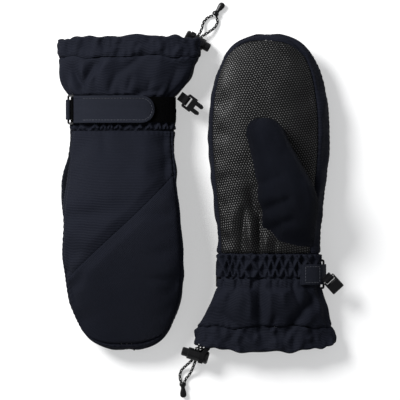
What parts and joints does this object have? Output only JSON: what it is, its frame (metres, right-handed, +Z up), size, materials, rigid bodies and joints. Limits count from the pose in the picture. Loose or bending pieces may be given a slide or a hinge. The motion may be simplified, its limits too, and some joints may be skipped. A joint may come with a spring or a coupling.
{
  "type": "ski mittens",
  "caption": "Insulated ski mittens with flared gauntlet cuffs, wrist straps, cord locks and clip halves, one lying palm up and the other palm down.",
  "frame": {"origin": "centre of the footprint of the two mittens, without their cord ends and pulls, on the surface they lie on", "axes": "+Z up from the surface; +Y from the right mitten's cuff to its finger tip; +X from the left mitten to the right one"},
  "size_m": [0.2862, 0.399, 0.0739],
  "materials": {
    "navy_shell": "fine ribbed woven nylon, matt",
    "palm_leather": "black coated synthetic leather with small raised dots, semi-gloss",
    "navy_trim": "smooth bound strap tab, matt",
    "webbing": "ribbed narrow webbing, matt",
    "loop_pile": "fuzzy loop pile, matt",
    "hook_tape": "moulded hook tape, matt",
    "black_plastic": "moulded black plastic, satin to gloss",
    "cord": "round braided elastic cord, black with pale flecks",
    "spring_steel": "drawn spring wire",
    "fleece": "brushed fleece, matt",
    "wadding": "lofted wadding",
    "membrane": "thin waterproof film laminate",
    "elastic": "flat woven elastic"
  },
  "bodies": {
    "left_mitten": {"left_palm_panel": "palm_leather", "left_side_gusset": "navy_shell", "left_back_hand_panel": "navy_shell", "left_back_finger_panel": "navy_shell", "left_wrist_casing": "navy_shell", "left_gauntlet_cuff": "navy_shell", "left_hem_channel": "navy_shell", "left_insulation": "wadding", "left_waterproof_insert": "membrane", "left_fleece_lining": "fleece", "left_wrist_elastic": "elastic", "left_wrist_strap": "loop_pile", "left_ring_anchor": "webbing", "left_slide_ring": "black_plastic", "left_clip_webbing": "webbing", "left_drawcord": "cord", "left_cord_end_a": "cord", "left_cord_end_b": "cord", "left_cord_lock_barrel": "black_plastic", "left_cord_lock_spring": "spring_steel", "left_cord_pull": "black_plastic", "left_cord_tab": "webbing"},
    "left_thumb": {"left_thumb_shell": "navy_shell", "left_thumb_insulation": "wadding", "left_thumb_lining": "fleece"},
    "left_tab": {"left_strap_tab": "navy_trim", "left_hook_patch": "hook_tape"},
    "left_clip": {"left_clip_plug": "black_plastic"},
    "left_button": {"left_cord_lock_button": "black_plastic"},
    "right_mitten": {"right_palm_panel": "palm_leather", "right_side_gusset": "navy_shell", "right_back_hand_panel": "navy_shell", "right_back_finger_panel": "navy_shell", "right_wrist_casing": "navy_shell", "right_gauntlet_cuff": "navy_shell", "right_hem_channel": "navy_shell", "right_insulation": "wadding", "right_waterproof_insert": "membrane", "right_fleece_lining": "fleece", "right_wrist_elastic": "elastic", "right_wrist_strap": "loop_pile", "right_ring_anchor": "webbing", "right_slide_ring": "black_plastic", "right_clip_webbing": "webbing", "right_drawcord": "cord", "right_cord_end_a": "cord", "right_cord_end_b": "cord", "right_cord_lock_barrel": "black_plastic", "right_cord_lock_spring": "spring_steel", "right_cord_pull": "black_plastic", "right_cord_tab": "webbing"},
    "right_thumb": {"right_thumb_shell": "navy_shell", "right_thumb_insulation": "wadding", "right_thumb_lining": "fleece"},
    "right_tab": {"right_strap_tab": "navy_trim", "right_hook_patch": "hook_tape"},
    "right_clip": {"right_clip_socket": "black_plastic"},
    "right_button": {"right_cord_lock_button": "black_plastic"}
  },
  "joints": [
    {"name": "right_mitten_slide", "type": "slide", "parent": "left_mitten", "child": "right_mitten", "axis": [1, 0, 0], "range_m": [0, 0.1]},
    {"name": "left_thumb_fold", "type": "hinge", "parent": "left_mitten", "child": "left_thumb", "pos_m": [-0.13415, 0.03157, 0.0149], "axis": [0, 1, 0], "range_deg": [0, 35], "stiffness_Nm_per_rad": 0.5},
    {"name": "left_tab_peel", "type": "hinge", "parent": "left_mitten", "child": "left_tab", "pos_m": [-0.12696, 0.08757, 0.03517], "axis": [0, -1, 0], "range_deg": [0, 120]},
    {"name": "left_clip_swing", "type": "hinge", "parent": "left_mitten", "child": "left_clip", "pos_m": [-0.01465, 0.09707, 0.0199], "axis": [0.6, 0.8, 0], "range_deg": [-40, 40]},
    {"name": "left_button_press", "type": "slide", "parent": "left_mitten", "child": "left_button", "axis": [-0.8832, 0.4691, 0], "range_m": [0, 0.003], "stiffness_N_per_m": 1000, "deforming": ["left_cord_lock_spring"]},
    {"name": "right_thumb_fold", "type": "hinge", "parent": "right_mitten", "child": "right_thumb", "pos_m": [0.12485, -0.02143, 0.0289], "axis": [0, 1, 0], "range_deg": [0, 35], "stiffness_Nm_per_rad": 0.5},
    {"name": "right_tab_peel", "type": "hinge", "parent": "right_mitten", "child": "right_tab", "pos_m": [0.11766, -0.07743, 0.00863], "axis": [0, -1, 0], "range_deg": [0, 120]},
    {"name": "right_clip_swing", "type": "hinge", "parent": "right_mitten", "child": "right_clip", "pos_m": [0.12815, -0.08183, 0.03], "axis": [0.7372, 0.6757, 0], "range_deg": [-40, 20]},
    {"name": "right_button_press", "type": "slide", "parent": "right_mitten", "child": "right_button", "axis": [0.9612, -0.276, 0], "range_m": [0, 0.003], "stiffness_N_per_m": 1000, "deforming": ["right_cord_lock_spring"]}
  ]
}
